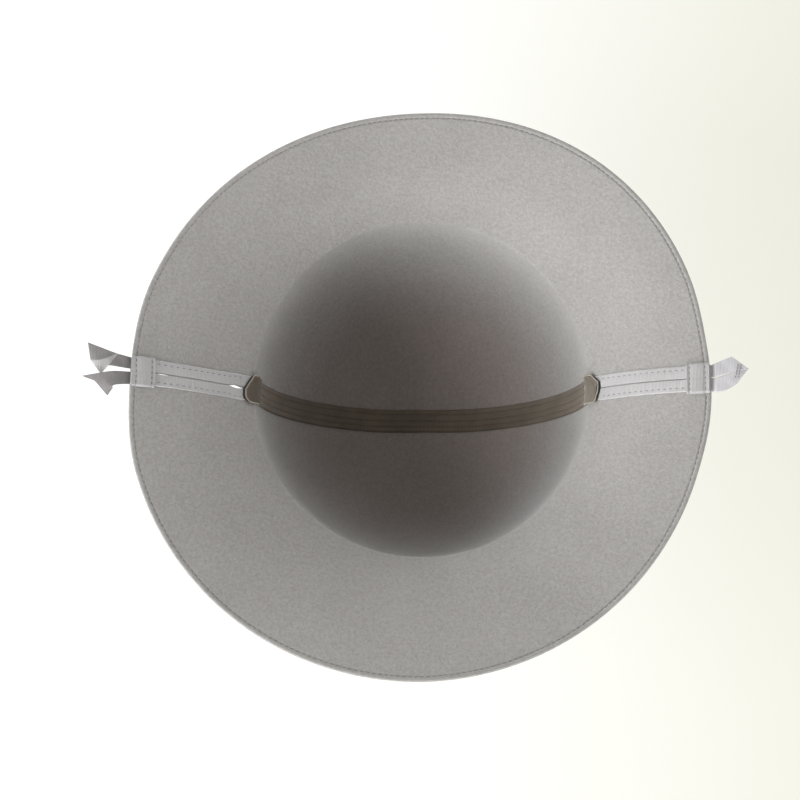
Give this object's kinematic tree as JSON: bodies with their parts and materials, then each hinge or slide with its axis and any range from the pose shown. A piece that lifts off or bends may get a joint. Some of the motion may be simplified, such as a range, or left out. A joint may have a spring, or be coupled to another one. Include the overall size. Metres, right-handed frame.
{
  "type": "packable felt hat",
  "caption": "Light grey wide-brimmed felt hat that packs flat: slit brim with grosgrain bindings, ribbon ties and a loop tab, and an olive tape over the crown's seam.",
  "frame": {"origin": "centre of the flat tip of the crown, on which the hat rests upside down", "axes": "+Z out of the head opening, +Y to the back of the hat, +X to the side with the loop tab"},
  "size_m": [0.3508, 0.308, 0.1414],
  "materials": {
    "felt": "suede-like wool felt, light warm grey",
    "grosgrain": "ribbed grosgrain ribbon, light grey",
    "olive_tape": "woven cotton tape, olive brown",
    "grey_thread": "grey sewing thread",
    "dark_thread": "dark brown sewing thread",
    "wire": "plain spring steel, hidden in the felt"
  },
  "bodies": {
    "hat": {"front_felt_half": "felt", "back_felt_half": "felt", "front_brim_wire": "wire", "back_brim_wire": "wire", "front_edge_stitching": "grey_thread", "back_edge_stitching": "grey_thread", "crown_seam_stitching": "grey_thread", "crown_seam_tape": "olive_tape", "left_tape_patch": "olive_tape", "right_tape_patch": "olive_tape", "tape_stitching": "dark_thread", "left_keeper": "grosgrain", "right_keeper": "grosgrain", "left_keeper_stitching": "grey_thread", "right_keeper_stitching": "grey_thread", "left_front_binding": "grosgrain", "left_front_binding_stitching": "grey_thread", "left_back_binding": "grosgrain", "left_back_binding_stitching": "grey_thread", "right_front_binding": "grosgrain", "right_front_binding_stitching": "grey_thread", "right_back_binding": "grosgrain", "right_back_binding_stitching": "grey_thread"},
    "left_back_tie": {"left_back_tie": "grosgrain"},
    "left_front_tie": {"left_front_tie": "grosgrain"},
    "right_loop_tab": {"right_loop_back_ribbon": "grosgrain", "right_loop_front_ribbon": "grosgrain", "right_loop_bar_tack": "grey_thread"}
  },
  "joints": [
    {"name": "left_back_tie_flex", "type": "hinge", "parent": "hat", "child": "left_back_tie", "pos_m": [-0.1549, 0, 0.13918], "axis": [0, -1, 0], "range_deg": [-75, 75], "stiffness_Nm_per_rad": 0.0002},
    {"name": "left_front_tie_flex", "type": "hinge", "parent": "hat", "child": "left_front_tie", "pos_m": [-0.1549, 0, 0.13918], "axis": [0, -1, 0], "range_deg": [-75, 75], "stiffness_Nm_per_rad": 0.0002},
    {"name": "right_loop_tab_flex", "type": "hinge", "parent": "hat", "child": "right_loop_tab", "pos_m": [0.1549, 0, 0.13918], "axis": [0, 1, 0], "range_deg": [-75, 75], "stiffness_Nm_per_rad": 0.0002}
  ]
}
